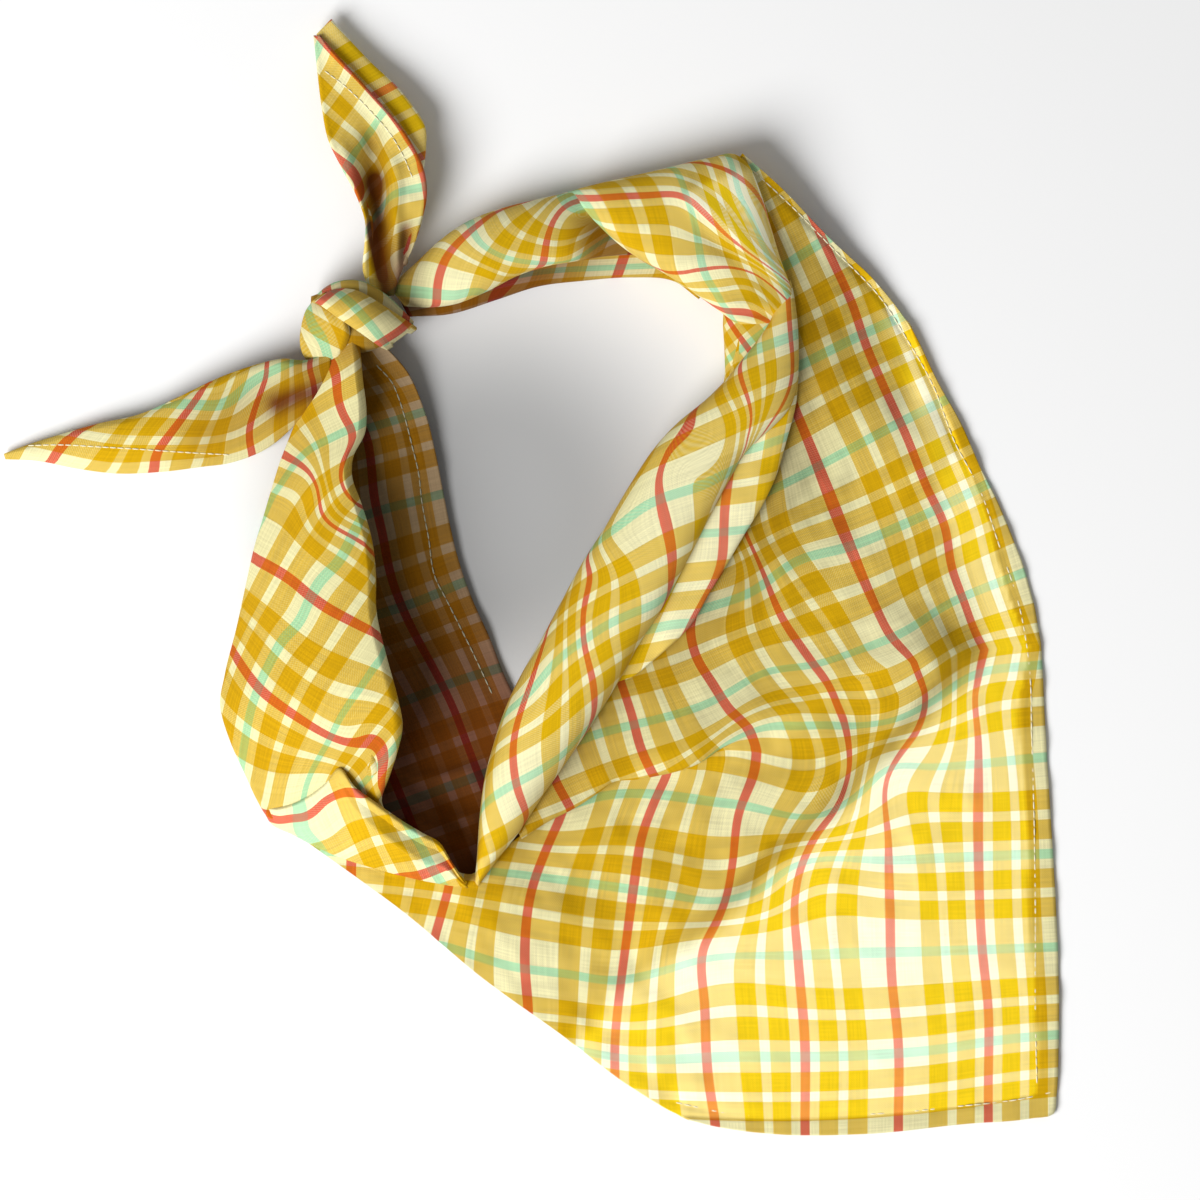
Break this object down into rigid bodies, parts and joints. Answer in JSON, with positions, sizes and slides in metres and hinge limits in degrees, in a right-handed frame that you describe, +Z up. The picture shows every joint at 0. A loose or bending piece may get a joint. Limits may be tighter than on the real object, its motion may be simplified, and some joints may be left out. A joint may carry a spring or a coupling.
{
  "type": "folded bandana",
  "caption": "Square cotton plaid bandana folded corner to corner, rolled along the fold and knotted, lying flat with its neck loop open and its point spread out.",
  "frame": {"origin": "centre of the footprint, on the surface that the bandana lies on", "axes": "+Z up from the table, +Y towards the tied end that points away from the free corner, +X to the side that the free corner spreads to"},
  "size_m": [0.316, 0.3336, 0.032],
  "materials": {
    "cloth": "matt woven cotton plaid"
  },
  "bodies": {
    "root": {"bandana": "cloth"}
  },
  "joints": []
}
